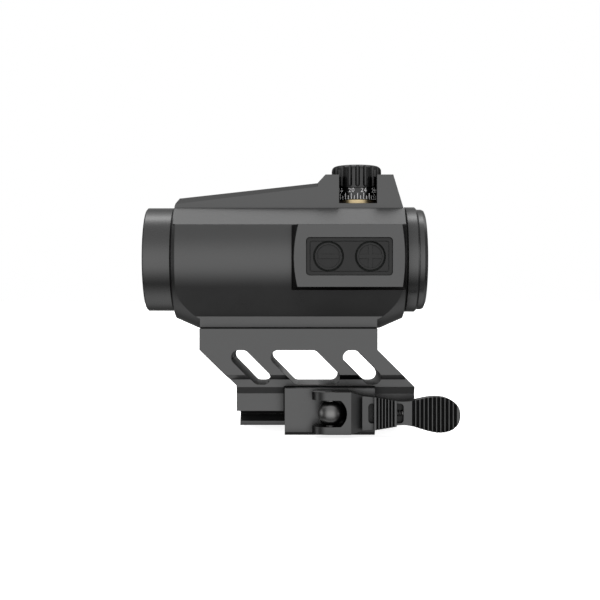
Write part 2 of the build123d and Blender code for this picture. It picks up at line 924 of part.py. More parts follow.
# ---------------------------------------------------------------- battery
def battery_cap():
    """The round cap with a coin slot, a gripping edge and a threaded skirt."""
    low = battery_boss_top + 2 * cap_seal_radius * 0.6
    top = low + cap_height
    skirt = cap_thread_radius - thread_clearance
    skirt_low = battery_boss_top - cap_thread_depth
    cell_top = cell_floor + contact_thickness + cell_thickness
    inner = cell_radius + 0.25
    rim = battery_boss_radius - 0.4
    profile = [
        (0, cell_top + 0.05),
        (inner, cell_top + 0.05),
        (inner, skirt_low),
        (skirt, skirt_low),
        (skirt, low),
        (rim, low),
        (rim, top - 0.5),
        (rim - 0.5, top),
        (0, top),
    ]
    cap = turned(profile)
    cap -= Pos(0, 0, top) * Box(2 * rim * 0.72, cap_slot_width, 2 * cap_slot_depth)
    grips = [place * rod(0.4, low + 0.5, top + 1) for place in PolarLocations(rim + 0.2, cap_grip_count)]
    cap = cap.cut(*grips)
    seat = o_ring(cap_thread_radius + 0.15, 2 * cap_seal_radius, low - cap_seal_radius * 0.6)
    return battery_side * (cap - seat)


def cap_seal():
    low = battery_boss_top + 2 * cap_seal_radius * 0.6
    ring = o_ring(cap_thread_radius + 0.15, 2 * cap_seal_radius, low - cap_seal_radius * 0.6)
    below = Pos(0, 0, battery_boss_top - 2) * Box(60, 60, 4)
    return battery_side * (ring - below)


def coin_cell():
    low = cell_floor + contact_thickness
    cell = rod(cell_radius, low, low + cell_thickness)
    return battery_side * chamfer(cell.edges(), 0.3)


def battery_contact():
    strip = Pos(0, 0, cell_floor + contact_thickness / 2) * Box(13, 2.4, contact_thickness)
    disc = rod(2.4, cell_floor, cell_floor + contact_thickness)
    return battery_side * (strip + disc)


# ---------------------------------------------------------------- riser and its clamp
def riser_side():
    """The riser's outline seen from the side: a deck, two slanted ends and a foot."""
    top = axis_height - flange_depth
    return [
        (riser_front, top),
        (riser_rear, top),
        (riser_rear, deck_bottom),
        (foot_rear, foot_top_rear),
        (foot_rear, 0),
        (foot_front, 0),
        (foot_front, foot_top_front),
        (riser_front, deck_bottom),
    ]


def riser_section():
    """The riser's end outline: straight upper walls, an undercut step, a groove and the base."""
    top = axis_height - flange_depth
    half = [
        (riser_half, top),
        (riser_half, step_top),
        (band_half, step_bottom),
        (band_half, groove_top),
        (base_half, groove_bottom),
        (base_half, 0),
    ]
    return half + [(-y, z) for y, z in reversed(half)]


def jaw_hook(back, face, top):
    """The end outline of a clamp jaw that reaches under the rail's edge, on the +Y side."""
    valley = rail_width / 2 + rail_clearance
    shoulder = rail_top_width / 2 + rail_clearance
    drop = valley - shoulder
    inner = max(back, shoulder)
    return [
        (back, top),
        (face, top),
        (face, jaw_bottom + jaw_chamfer),
        (face - jaw_chamfer, jaw_bottom),
        (jaw_tooth_inset, jaw_bottom),
        (jaw_tooth_inset, jaw_tooth_top),
        (valley, -drop),
        (inner, -(inner - shoulder)),
    ]


def slot_cut(left, width):
    """A slanted, round-cornered slot across the riser."""
    lean = slot_top - slot_bottom
    outline = [
        (left, slot_top),
        (left + width, slot_top),
        (left + width + lean, slot_bottom),
        (left + lean, slot_bottom),
    ]
    cutter = side_prism(outline, -20, 20)
    upright = cutter.edges().filter_by(Axis.Y)
    return fillet(upright, slot_fillet)


def riser():
    reach = far_jaw_half + 2
    body = side_prism(riser_side(), -reach, reach)
    body = body & end_prism(riser_section(), foot_front - 20, foot_rear + 1)
    far_jaw = end_prism(jaw_hook(base_half - 2.5, far_jaw_half, groove_bottom), foot_front, foot_rear)
    body += far_jaw
    for left, width in zip(slot_lefts, slot_widths):
        body -= slot_cut(left, width)
    notch = jaw_half_length + jaw_end_gap
    body -= block(-notch, notch, -20, -jaw_back, -8, jaw_top + 0.2)
    body -= across(0, bolt_z) * rod(bolt_radius + bolt_clearance, -20, 20)
    body -= across(0, bolt_z) * rod(nut_radius + 0.2, far_jaw_half - nut_recess, 20)
    for x in (-guide_pin_x, guide_pin_x):
        pin_hole = rod(guide_pin_radius, -jaw_back - 1, -jaw_back + 4)
        body -= across(x, guide_pin_z) * pin_hole
    for x in (-jaw_spring_x, jaw_spring_x):
        pocket = rod(jaw_spring_radius + 0.1, -jaw_back - 1, -jaw_back + jaw_spring_length)
        body -= across(x, guide_pin_z) * pocket
    deck_top = axis_height - flange_depth
    for x in screw_rows:
        for y in (-screw_half_spacing, screw_half_spacing):
            head_top = slot_top + mount_head_recess
            body -= Pos(x, y, 0) * rod(mount_screw_radius + 0.1, slot_top - 1, deck_top + 1)
            body -= Pos(x, y, 0) * rod(mount_head_radius + 0.1, slot_top - 2.5, head_top)
    return body


def riser_screws():
    """Four cap screws that hold the sight on the riser's deck."""
    screws = []
    for x in screw_rows:
        for y in (-screw_half_spacing, screw_half_spacing):
            head_top = slot_top + mount_head_recess
            head = rod(mount_head_radius, head_top - mount_head_height, head_top)
            shank_top = axis_height - flange_depth + mount_screw_depth
            screw = head + rod(mount_screw_radius, head_top - 0.5, shank_top)
            key = RegularPolygon(1.2, 6)
            screw -= extrude(Pos(0, 0, head_top - mount_head_height) * key, amount=1.1)
            screws.append(Pos(x, y, 0) * screw)
    return Compound(children=screws)


def clamp_jaw():
    """The moving jaw: it slides on two guide pins and is pressed in by the lever's cam."""
    section = [(-y, z) for y, z in jaw_hook(jaw_back + 0.02, jaw_face, jaw_top)]
    jaw = end_prism(section, -jaw_half_length, jaw_half_length)
    jaw -= across(0, bolt_z) * rod(bolt_radius + bolt_clearance, -20, 0)
    for x in (-guide_pin_x, guide_pin_x):
        hole = rod(guide_pin_radius + running_clearance, -jaw_back - guide_pin_reach - 0.4, 0)
        jaw -= across(x, guide_pin_z) * hole
    return jaw


def cross_bolt():
    """The bolt through the rail's slot, with a flat round eye for the lever's pin."""
    tail = far_jaw_half + nut_thickness - nut_recess + 0.6
    bolt = across(0, bolt_z) * rod(bolt_radius, pin_y + 2.6, tail)
    eye = Pos(0, pin_y, bolt_z) * Sphere(bolt_eye_radius)
    eye = eye & block(-10, 10, pin_y - 10, pin_y + 10, bolt_z - bolt_eye_half, bolt_z + bolt_eye_half)
    bolt += eye
    return bolt - Pos(0, pin_y, bolt_z) * rod(pin_radius, -10, 10)


def adjusting_nut():
    """The nut on the far end of the bolt that sets the clamp's tension."""
    low = far_jaw_half - nut_recess
    hexagon = extrude(Pos(0, 0, low) * RegularPolygon(nut_radius, 6), amount=nut_thickness)
    nut = hexagon & turned([
        (0, low),
        (nut_radius, low),
        (nut_radius, low + nut_thickness - 0.5),
        (nut_radius - 0.7, low + nut_thickness),
        (0, low + nut_thickness),
    ])
    nut -= rod(bolt_radius, low - 1, low + nut_thickness + 1)
    return across(0, bolt_z) * nut


def jaw_guide_pins():
    pins = []
    for x in (-guide_pin_x, guide_pin_x):
        pin = rod(guide_pin_radius, -jaw_back - guide_pin_reach, -jaw_back + 4)
        pins.append(across(x, guide_pin_z) * pin)
    return Compound(children=pins)


def jaw_springs():
    """Two small springs that push the jaw off the rail, drawn as plain sleeves."""
    springs = []
    for x in (-jaw_spring_x, jaw_spring_x):
        inner = jaw_spring_radius - jaw_spring_wall
        sleeve = collar(jaw_spring_radius, inner, -jaw_back, -jaw_back + jaw_spring_length)
        springs.append(across(x, guide_pin_z) * sleeve)
    return Compound(children=springs)


# ---------------------------------------------------------------- lever
def lever_side():
    """The lever's outline seen from the side, without the clevis: arm, neck and paddle."""
    z = lever_z
    paddle_z = lever_z - paddle_drop
    tip = (paddle_end, paddle_z)
    top = Spline(
        (arm_start, z + arm_half), (neck_x, z + neck_half), (paddle_wide_x, paddle_z + paddle_half), tip,
        tangents=((1, -0.05, 0), (0, -1, 0)),
    )
    bottom = Spline(
        (arm_start, z - arm_half), (neck_x, z - neck_half), (paddle_wide_x, paddle_z - paddle_half), tip,
        tangents=((1, 0.05, 0), (0, 1, 0)),
    )
    end = Line((arm_start, z - arm_half), (arm_start, z + arm_half))
    return make_face([top, bottom, end])


def qd_lever():
    """The lever: a clevis with eccentric cam ears, a slotted arm and a ribbed paddle."""
    cam = Pos(cam_shift_x, pin_y + cam_shift_y) * Circle(cam_radius)
    cheek = Pos((cam_shift_x + clevis_right) / 2, (clevis_face + pin_y + 5) / 2)
    cheek = cheek * Rectangle(clevis_right - cam_shift_x, pin_y + 5 - clevis_face)
    plan = cam + cheek
    depth = -jaw_face - lever_gap - clevis_face
    plan = plan & (Pos(0, clevis_face + depth / 2) * Rectangle(40, depth))
    # The ears' free ends are rounded on the outside too.
    centre_x = cam_shift_x - cam_radius + ear_rounding
    centre_y = clevis_face + ear_rounding
    rounded = Pos(centre_x, centre_y) * Circle(ear_rounding)
    rounded += Pos(centre_x + 10, clevis_face + 10) * Rectangle(20, 20)
    rounded += Pos(0, centre_y + 10) * Rectangle(40, 20)
    plan = plan & rounded
    clevis = plan_prism(plan, clevis_bottom, clevis_top)
    flare = side_prism([
        (cam_shift_x + 3, clevis_bottom), (clevis_right, clevis_bottom), (arm_start, lever_z - arm_half),
        (arm_start, lever_z + arm_half), (clevis_right, clevis_top), (cam_shift_x + 3, clevis_top),
    ], arm_face, arm_back)
    slope = plan_prism(outline_face([
        (clevis_right - 0.5, clevis_face), (clevis_right, clevis_face), (arm_start, arm_face),
        (arm_start, arm_back), (clevis_right - 0.5, arm_back),
    ]), clevis_bottom, clevis_top)
    slope = slope & side_prism([
        (0, clevis_bottom), (clevis_right, clevis_bottom), (arm_start, lever_z - arm_half),
        (arm_start, lever_z + arm_half), (clevis_right, clevis_top), (0, clevis_top),
    ], -40, 0)
    plane = Plane(origin=(0, arm_back, 0), x_dir=(1, 0, 0), z_dir=(0, -1, 0))
    arm = extrude(plane * lever_side(), amount=arm_back - arm_face)
    lever = clevis + flare + slope + arm
    # The window between the ears lets the bolt's eye turn.
    eye_room = Pos(0, pin_y) * Circle(window_right)
    open_end = Pos(-5, pin_y) * Rectangle(10, 2 * window_right)
    window = plan_prism(eye_room + open_end, window_bottom, window_top)
    back_room = Pos(0, pin_y + 5) * Rectangle(2 * (bolt_radius + 0.4), 10)
    window += plan_prism(back_room, window_bottom, window_top)
    window += plan_prism(Pos(-5, pin_y + 5) * Rectangle(10, 10), window_bottom, window_top)
    front_room = Pos(0.35, pin_y - 5) * Rectangle(2 * window_right - 0.7, 10)
    window += plan_prism(front_room, window_bottom, window_top)
    # Its right end is rounded when seen from the side.
    arc_x = window_right - window_rounding
    end_shape = across(arc_x, (window_top + window_bottom) / 2) * rod(window_rounding, -40, 0)
    end_shape += block(-20, arc_x, -40, 0, window_bottom, window_top)
    lever -= window & end_shape
    lever -= Pos(0, pin_y, 0) * rod(pin_radius + running_clearance, -20, 20)
    slot = block(lock_slot_front, lock_slot_rear, arm_face - 1, arm_face + lock_slot_depth,
                 lever_z - lock_slot_half, lever_z + lock_slot_half)
    lever -= fillet(slot.edges().filter_by(Axis.Y), 0.9)
    return lever.cut(*paddle_grooves())


def v_groove(x, face, width, depth):
    """A cutter for a V groove across the lever at x, sunk from a face by depth along Y."""
    lip = face - 0.1 * depth
    wide = width * 0.55
    outline = [(x - wide, lip), (x + wide, lip), (x, face + depth)]
    return plan_prism(outline_face(outline), lever_z - 2 * paddle_half, lever_z + 2 * paddle_half)


def paddle_grooves():
    """Cutters for the gripping grooves across the paddle, on both of its faces."""
    cutters = []
    count = int((paddle_end - groove_end_margin - groove_start) / groove_pitch) + 1
    for index in range(count):
        x = groove_start + index * groove_pitch
        cutters.append(v_groove(x, arm_face, groove_width, groove_depth))
        cutters.append(v_groove(x, arm_back, groove_width, -groove_depth))
    return cutters


def lever_pin():
    return Pos(0, pin_y, 0) * rod(pin_radius, clevis_bottom + 0.1, clevis_top - 0.1)


def lever_lock():
    """The ribbed slide on the arm, with a stem in the slot."""
    face = arm_face - lock_height
    z = lever_z
    outline = [
        (lock_front, z - lock_half_front), (lock_rear, z - lock_half_rear),
        (lock_rear, z + lock_half_rear), (lock_front, z + lock_half_front),
    ]
    pad = side_prism(outline, face, arm_face - 0.05)
    step = (lock_rear - lock_front) / lock_rib_count
    for index in range(lock_rib_count - 1):
        pad -= v_groove(lock_front + step * (index + 1), face, lock_groove_width, lock_groove_depth)
    half = lock_slot_half - lock_clearance
    floor = arm_face + lock_slot_depth - lock_clearance
    stem = block(lock_front + 0.6, lock_rear - lock_spring_seat, arm_face - 0.1, floor, z - half, z + half)
    return pad + stem


def lever_lock_spring():
    """The spring behind the lock, drawn as a plain sleeve."""
    start = lock_rear - lock_spring_seat
    end = lock_slot_rear
    sleeve = collar(lock_spring_radius, lock_spring_radius - lock_spring_wall, start, end)
    y = arm_face + lock_slot_depth / 2
    return Location((0, y, lever_z), (0, 90, 0)) * sleeve


# ---------------------------------------------------------------- the assembly
def build_parts():
    first_lens, second_lens = lens_pair()
    parts = {
        "main_housing": main_housing(),
        "objective_hood": objective_hood(),
        "front_window": front_window(),
        "front_window_seal": front_window_seal(),
        "rear_ring": rear_ring(),
        "rear_window": rear_window(),
        "rear_window_seal": rear_window_seal(),
        "eyepiece_ring": eyepiece_ring(),
        "gimbal_ring": gimbal_ring(),
        "elevation_pivot_pins": pivot_pins((-90, 90), gimbal_inner, bore_radius + pivot_pin_depth - 0.1),
        "inner_tube": inner_tube(),
        "windage_pivot_pins": pivot_pins((0, 180), tube_inner, gimbal_outer),
        "front_lens": first_lens,
        "cemented_lens": second_lens,
        "lens_retainer": lens_retainer(),
        "emitter_holder": emitter_holder(),
        "emitter": emitter(),
        "return_spring": return_spring(),
        "keypad": keypad(),
        "button_minus": button(-1, [(minus_length, symbol_width)]),
        "button_plus": button(1, [(plus_length, symbol_width), (symbol_width, plus_length)]),
        "minus_dome": dome(-1),
        "plus_dome": dome(1),
        "keypad_board": keypad_board(),
        "battery_cap": battery_cap(),
        "cap_seal": cap_seal(),
        "coin_cell": coin_cell(),
        "battery_contact": battery_contact(),
        "riser": riser(),
        "riser_screws": riser_screws(),
        "clamp_jaw": clamp_jaw(),
        "cross_bolt": cross_bolt(),
        "adjusting_nut": adjusting_nut(),
        "jaw_guide_pins": jaw_guide_pins(),
        "jaw_springs": jaw_springs(),
        "qd_lever": qd_lever(),
        "lever_pin": lever_pin(),
        "lever_lock": lever_lock(),
        "lever_lock_spring": lever_lock_spring(),
    }
    turret_pieces = {
        "base": turret_base(),
        "screw": turret_screw(),
        "dial": turret_dial(),
        "ball": turret_ball(),
        "clip": turret_clip(),
        "seal": turret_seal(),
        "knob": turret_knob(),
    }
    for name, piece in turret_pieces.items():
        parts["elevation_" + name] = up_turret * piece
        parts["windage_" + name] = side_turret * piece
    return parts


def main():
    os.makedirs("parts", exist_ok=True)
    for name, piece in build_parts().items():
        export_step(piece, "parts/" + name + ".step")


main()
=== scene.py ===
import math

import bpy
import bmesh
from mathutils import Matrix, Vector


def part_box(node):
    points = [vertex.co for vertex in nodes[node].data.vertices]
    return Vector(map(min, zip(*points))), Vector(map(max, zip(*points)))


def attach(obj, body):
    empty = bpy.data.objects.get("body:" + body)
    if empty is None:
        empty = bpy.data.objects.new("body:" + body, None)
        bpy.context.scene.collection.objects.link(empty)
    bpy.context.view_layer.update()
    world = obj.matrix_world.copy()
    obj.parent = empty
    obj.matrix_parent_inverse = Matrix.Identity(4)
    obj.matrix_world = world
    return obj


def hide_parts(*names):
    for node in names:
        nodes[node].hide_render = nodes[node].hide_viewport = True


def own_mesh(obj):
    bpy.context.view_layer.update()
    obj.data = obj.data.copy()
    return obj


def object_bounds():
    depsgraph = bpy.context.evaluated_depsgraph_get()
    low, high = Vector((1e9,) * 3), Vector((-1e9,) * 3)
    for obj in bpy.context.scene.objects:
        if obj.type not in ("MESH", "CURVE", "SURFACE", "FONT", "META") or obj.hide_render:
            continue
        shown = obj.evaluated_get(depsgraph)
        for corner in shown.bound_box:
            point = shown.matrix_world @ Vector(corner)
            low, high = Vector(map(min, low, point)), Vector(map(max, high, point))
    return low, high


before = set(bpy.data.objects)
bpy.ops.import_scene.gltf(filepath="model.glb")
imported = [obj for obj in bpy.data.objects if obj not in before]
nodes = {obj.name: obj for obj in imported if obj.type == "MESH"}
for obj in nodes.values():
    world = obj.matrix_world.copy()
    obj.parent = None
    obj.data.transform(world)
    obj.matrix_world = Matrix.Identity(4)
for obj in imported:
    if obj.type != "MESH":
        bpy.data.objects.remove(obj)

cadLow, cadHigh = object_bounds()
mm = 0.001
print("frame loaded:", len(nodes), "nodes")


# Where things are, worked out from the frame
def middle(node):
    low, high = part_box(node)
    return (low + high) / 2


hoodLow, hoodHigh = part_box("objective_hood")
tubeAxis = middle("objective_hood").z
turretX = middle("elevation_dial").x


# shader maths
class Wire:
    # a socket that can be written into an expression
    def __init__(self, maker, socket):
        self.maker = maker
        self.socket = socket

    def __add__(self, other):
        return self.maker.maths("ADD", self, other)

    def __radd__(self, other):
        return self.maker.maths("ADD", other, self)

    def __sub__(self, other):
        return self.maker.maths("SUBTRACT", self, other)

    def __rsub__(self, other):
        return self.maker.maths("SUBTRACT", other, self)

    def __mul__(self, other):
        return self.maker.maths("MULTIPLY", self, other)

    def __rmul__(self, other):
        return self.maker.maths("MULTIPLY", other, self)

    def __truediv__(self, other):
        return self.maker.maths("DIVIDE", self, other)

    def __rtruediv__(self, other):
        return self.maker.maths("DIVIDE", other, self)

    def __pow__(self, other):
        return self.maker.maths("POWER", self, other)

    def __rpow__(self, other):
        return self.maker.maths("POWER", other, self)

    def __lt__(self, other):
        return self.maker.maths("LESS_THAN", self, other)

    def __gt__(self, other):
        return self.maker.maths("GREATER_THAN", self, other)


class Made:
    # a node just made, with its outputs as wires
    def __init__(self, maker, node):
        self.maker = maker
        self.node = node

    def out(self, name):
        return Wire(self.maker, self.node.outputs[name])


class Maker:
    # adds nodes to one tree, a material's or the world's
    def __init__(self, tree):
        self.tree = tree

    def node(self, kind, settings, inputs):
        node = self.tree.nodes.new(kind)
        for key, value in settings.items():
            if key == "stops":
                self.stops(node, value)
            else:
                setattr(node, key, value)
        for key, value in inputs.items():
            if isinstance(value, Wire):
                self.tree.links.new(value.socket, node.inputs[key])
            else:
                node.inputs[key].default_value = value
        return Made(self, node)

    def stops(self, node, stops):
        ramp = node.color_ramp.elements
        while len(ramp) < len(stops):
            ramp.new(0.5)
        for element, (position, grey) in zip(ramp, stops):
            element.position = position
            element.color = (grey, grey, grey, 1)

    def ramp(self, value, stops):
        return self.node("ShaderNodeValToRGB", {"stops": stops}, {"Fac": value}).out("Color")

    def blend(self, factor, first, second):
        settings = {"data_type": "RGBA"}
        return self.node("ShaderNodeMix", settings, {"Factor": factor, 6: first, 7: second}).out(2)

    def vector(self, operation, first, second, output="Vector"):
        made = self.node("ShaderNodeVectorMath", {"operation": operation}, {0: first, 1: second})
        return made.out(output)

    def maths(self, operation, first, second=0.0):
        return self.node("ShaderNodeMath", {"operation": operation}, {0: first, 1: second}).out(0)


edgeRays = {"samples": 6, "gain": 3.0}


class Finish(Maker):
    # a material under construction
    def __init__(self, name):
        self.material = bpy.data.materials.new(name)
        self.material.use_nodes = True
        super().__init__(self.material.node_tree)
        self.shader = self.tree.nodes["Principled BSDF"]
        self.where = self.node("ShaderNodeTexCoord", {}, {})
        self.place = self.where.out("Object")

    def noise(self, grain, detail):
        inputs = {"Vector": self.place, "Scale": 1 / (grain * mm), "Detail": detail}
        return self.node("ShaderNodeTexNoise", {}, inputs).out("Fac")

    def axes(self):
        parts = self.node("ShaderNodeSeparateXYZ", {}, {"Vector": self.place})
        return parts.out("X"), parts.out("Y"), parts.out("Z")

    def fixed(self, **values):
        for name, value in values.items():
            socket = self.shader.inputs[socketNames[name]]
            socket.default_value = value

    def varied(self, **wires):
        for name, wire in wires.items():
            self.tree.links.new(wire.socket, self.shader.inputs[socketNames[name]])

    def waves(self, along, pitch):
        # fine turning lines: a sine along one axis
        return self.maths("SINE", along * (2 * math.pi / (pitch * mm)))

    def softEdges(self, radius):
        # a rounded normal near each edge, and a mask that is 1 on the edge itself
        settings = {"samples": edgeRays["samples"]}
        rounded = self.node("ShaderNodeBevel", settings, {"Radius": radius * mm}).out("Normal")
        facing = self.vector("DOT_PRODUCT", rounded, self.flat(), "Value")
        return rounded, (1 - facing) * edgeRays["gain"]

    def open(self, reach):
        # 1 on open surfaces, falling towards 0 in corners and crevices narrower than reach
        settings = {"samples": edgeRays["samples"]}
        return self.node("ShaderNodeAmbientOcclusion", settings, {"Distance": reach * mm}).out("AO")

    def flat(self):
        return self.node("ShaderNodeNewGeometry", {}, {}).out("Normal")

    def bump(self, height, strength, depth, normal):
        inputs = {"Strength": strength, "Distance": depth * mm, "Height": height, "Normal": normal}
        return self.node("ShaderNodeBump", {}, inputs).out("Normal")


socketNames = {
    "colour": "Base Color", "roughness": "Roughness", "metallic": "Metallic", "normal": "Normal",
    "glow": "Emission Color", "glowStrength": "Emission Strength", "ior": "IOR",
    "transmission": "Transmission Weight", "coat": "Coat Weight", "coatRoughness": "Coat Roughness",
    "specular": "Specular IOR Level", "specularTint": "Specular Tint",
}


def tone(grey, warmth=0.0):
    return (grey * (1 + warmth), grey, grey * (1 - warmth), 1)


# finishes
anodised = {
    "housing": {"grey": 0.100, "worn": 0.20, "roughness": 0.30, "grain": 0.10, "edge": 0.20, "lathe": 0},
    # the mount's last value is the darker colour painted on its slot walls as shade
    "mount": {"grey": 0.100, "worn": 0.20, "roughness": 0.30, "grain": 0.10, "edge": 0.18, "lathe": 0,
              "cut": 0.016},
    "ring": {"grey": 0.100, "worn": 0.18, "roughness": 0.27, "grain": 0.10, "edge": 0.16, "lathe": 1},
    "lever": {"grey": 0.092, "worn": 0.20, "roughness": 0.30, "grain": 0.10, "edge": 0.12, "lathe": 0},
    "turret": {"grey": 0.060, "worn": 0.13, "roughness": 0.25, "grain": 0.08, "edge": 0.12, "lathe": 0},
    "innerTube": {"grey": 0.030, "worn": 0.05, "roughness": 0.50, "grain": 0.10, "edge": 0.10, "lathe": 1},
}
# what all the anodised finishes share: sizes of the pattern in millimetres, and how far it goes
skin = {
    "metallic": 0.9, "specular": 0.4, "cloud": 9.0, "rub": 1.6, "rubStops": [(0.42, 0.0), (0.62, 1.0)],
    "rubShare": 0.7, "dark": 0.94, "pale": 1.08, "cloudRoughness": 0.08, "grainRoughness": 0.10,
    "turning": 0.16,
}
# painted shade: the anodised colour is darkened in corners, creases and between parts, where shade falls
paintedCornerShade = {"reach": 3.5, "stops": [(0.35, 0.0), (0.85, 1.0)], "dark": 0.22}  # darkening in corners
slotWall = {"reach": 6.0, "stops": [(0.75, 0.0), (0.97, 1.0)], "facing": 0.3, "rougher": 0.3}
grazing = (0.35, 0.35, 0.35, 1)


def anodisedFinish(name, look):
    f = Finish(name)
    rounded, edge = f.softEdges(look["edge"])
    cloud = f.noise(skin["cloud"], 2.0)
    grain = f.noise(look["grain"], 2.0)
    rub = f.ramp(f.noise(skin["rub"], 4.0), skin["rubStops"])
    base = f.blend(cloud * 0.5, tone(look["grey"] * skin["dark"]), tone(look["grey"] * skin["pale"], -0.01))
    worn = f.blend(edge * rub * skin["rubShare"], base, tone(look["worn"]))
    # painted shade in corners and crevices: 1 on open surfaces, blending towards a darker tone where the
    # ambient occlusion closes in
    lit = f.ramp(f.open(paintedCornerShade["reach"]), paintedCornerShade["stops"])
    colour = f.blend(lit, tone(look["grey"] * paintedCornerShade["dark"]), worn)
    roughness = look["roughness"] + (cloud - 0.5) * skin["cloudRoughness"]
    roughness = roughness + (grain - 0.5) * skin["grainRoughness"]
    normal = f.bump(grain, 0.10, 0.02, rounded)
    if look["lathe"]:
        normal = f.bump(f.waves(f.axes()[0], skin["turning"]), 0.05, 0.01, normal)
    if "cut" in look:  # the slot walls are rougher and less metallic than the milled sides, and their colour is darkened as painted shade
        facing = f.vector("DOT_PRODUCT", f.where.out("Normal"), (0, 1, 0), "Value")
        walled = 1 - f.ramp(f.open(slotWall["reach"]), slotWall["stops"])
        dullShadedWall = (f.maths("ABSOLUTE", facing) < slotWall["facing"]) * walled
        # painted shade: the slot walls' colour is darkened; the added roughness and lower metallic are the
        # walls' own dull finish
        colour = f.blend(dullShadedWall, colour, tone(look["cut"]))
        roughness = roughness + dullShadedWall * slotWall["rougher"]
        f.varied(metallic=(1 - dullShadedWall) * skin["metallic"])
    else:
        f.fixed(metallic=skin["metallic"])
    f.fixed(specular=skin["specular"], specularTint=grazing)
    f.varied(colour=colour, roughness=roughness, normal=normal)
    return f.material


hoodInside = {"wall": 0.9, "grey": 0.018, "rougher": 0.3, "threadPitch": 0.5, "threadDepth": 0.12}


def hoodFinish():
    # outside as the rings; inside dull black with fine anti-glare threads
    look = anodised["ring"]
    f = Finish("hoodAnodised")
    rounded = f.softEdges(look["edge"])[0]
    x, y, z = f.axes()
    high = z - tubeAxis
    radius = (y * y + high * high) ** 0.5
    inside = radius < (hoodHigh.z - hoodLow.z) / 2 - hoodInside["wall"] * mm
    grain = f.noise(look["grain"], 2.0)
    cloud = f.noise(skin["cloud"], 2.0)
    threads = f.waves(x, hoodInside["threadPitch"])
    outer = f.blend(cloud * 0.5, tone(look["grey"] * skin["dark"]), tone(look["grey"] * skin["pale"]))
    normal = f.bump(grain, 0.10, 0.02, rounded)
    f.fixed(metallic=skin["metallic"], specular=skin["specular"], specularTint=grazing)
    f.varied(
        colour=f.blend(inside, outer, tone(hoodInside["grey"])),
        roughness=look["roughness"] + inside * hoodInside["rougher"] + (grain - 0.5) * skin["grainRoughness"],
        normal=f.bump(threads * inside, 0.6, hoodInside["threadDepth"], normal),
    )
    return f.material


rubberLook = {
    "keypadGrey": 0.034, "sealGrey": 0.018, "roughness": 0.68, "grain": 0.16, "cloud": 4.0, "edge": 0.10,
}


def rubberFinish(name, grey):
    f = Finish(name)
    rounded, edge = f.softEdges(rubberLook["edge"])
    grain = f.noise(rubberLook["grain"], 3.0)
    cloud = f.noise(rubberLook["cloud"], 2.0)
    f.fixed(metallic=0.0, specular=0.42)
    f.varied(
        colour=f.blend(cloud * 0.6 + edge * 0.3, tone(grey * 0.85), tone(grey * 1.2)),
        roughness=rubberLook["roughness"] + (grain - 0.5) * 0.2,
        normal=f.bump(grain, 0.22, 0.03, rounded),
    )
    return f.material


brassLook = {
    "bright": (0.62, 0.50, 0.30, 1), "tarnished": (0.46, 0.36, 0.20, 1), "roughness": 0.34, "edge": 0.08,
    "grain": 0.25, "patch": 2.0, "turning": 0.12,
}


def brassFinish():
    f = Finish("turnedBrass")
    rounded = f.softEdges(brassLook["edge"])[0]
    grain = f.noise(brassLook["grain"], 3.0)
    tarnish = f.noise(brassLook["patch"], 4.0)
    lines = f.waves(f.axes()[2], brassLook["turning"])
    f.fixed(metallic=1.0)
    f.varied(
        colour=f.blend(tarnish * 0.8, brassLook["bright"], brassLook["tarnished"]),
        roughness=brassLook["roughness"] + (grain - 0.5) * 0.2,
        normal=f.bump(lines, 0.10, 0.02, rounded),
    )
    return f.material


steel = {
    "black": {"grey": 0.14, "roughness": 0.34},
    "bolt": {"grey": 0.20, "roughness": 0.32},
    "bright": {"grey": 0.55, "roughness": 0.30},
}
steelSkin = {"edge": 0.10, "grain": 0.12, "stain": 1.2}


def steelFinish(name, look):
    f = Finish(name)
    rounded = f.softEdges(steelSkin["edge"])[0]
    grain = f.noise(steelSkin["grain"], 3.0)
    stain = f.noise(steelSkin["stain"], 4.0)
    f.fixed(metallic=1.0)
    f.varied(
        colour=f.blend(stain, tone(look["grey"] * 0.85, -0.01), tone(look["grey"] * 1.12, 0.02)),
        roughness=look["roughness"] + (grain - 0.5) * 0.16,
        normal=f.bump(grain, 0.08, 0.015, rounded),
    )
    return f.material


paintLook = {"thin": 0.62, "thick": 0.86, "grain": 0.12, "roughness": 0.5}


def paintFinish():
    # the white of the dial's figures, slightly uneven as filled engraving is
    f = Finish("dialWhite")
    fill = f.noise(paintLook["grain"], 3.0)
    f.fixed(metallic=0.0)
    f.varied(
        colour=f.blend(fill, tone(paintLook["thin"]), tone(paintLook["thick"])),
        roughness=paintLook["roughness"] + (fill - 0.5) * 0.2,
        normal=f.bump(fill, 0.2, 0.01, f.flat()),
    )
    return f.material


glass = {
    "lens": {"tint": (0.92, 0.62, 0.58, 1), "sheen": (1.0, 0.35, 0.25, 1)},
    "window": {"tint": (0.90, 0.96, 0.95, 1), "sheen": (0.75, 0.9, 1.0, 1)},
}
glassSkin = {
    "ior": 1.52, "coatRoughness": 0.03, "dust": 2.5, "dustGrey": 0.9, "haze": [(0.55, 0.0), (0.95, 0.05)],
}


def glassFinish(name, look):
    f = Finish(name)
    dust = f.noise(glassSkin["dust"], 5.0)
    f.fixed(metallic=0.0, transmission=1.0, ior=glassSkin["ior"])
    f.fixed(coat=1.0, coatRoughness=glassSkin["coatRoughness"], specularTint=look["sheen"])
    f.varied(
        colour=f.blend(dust * 0.3, look["tint"], tone(glassSkin["dustGrey"])),
        roughness=f.ramp(dust, glassSkin["haze"]),
    )
    return f.material


boardLook = {
    "low": (0.004, 0.010, 0.006, 1), "high": (0.007, 0.016, 0.010, 1), "weave": 0.3, "roughness": 0.4,
}


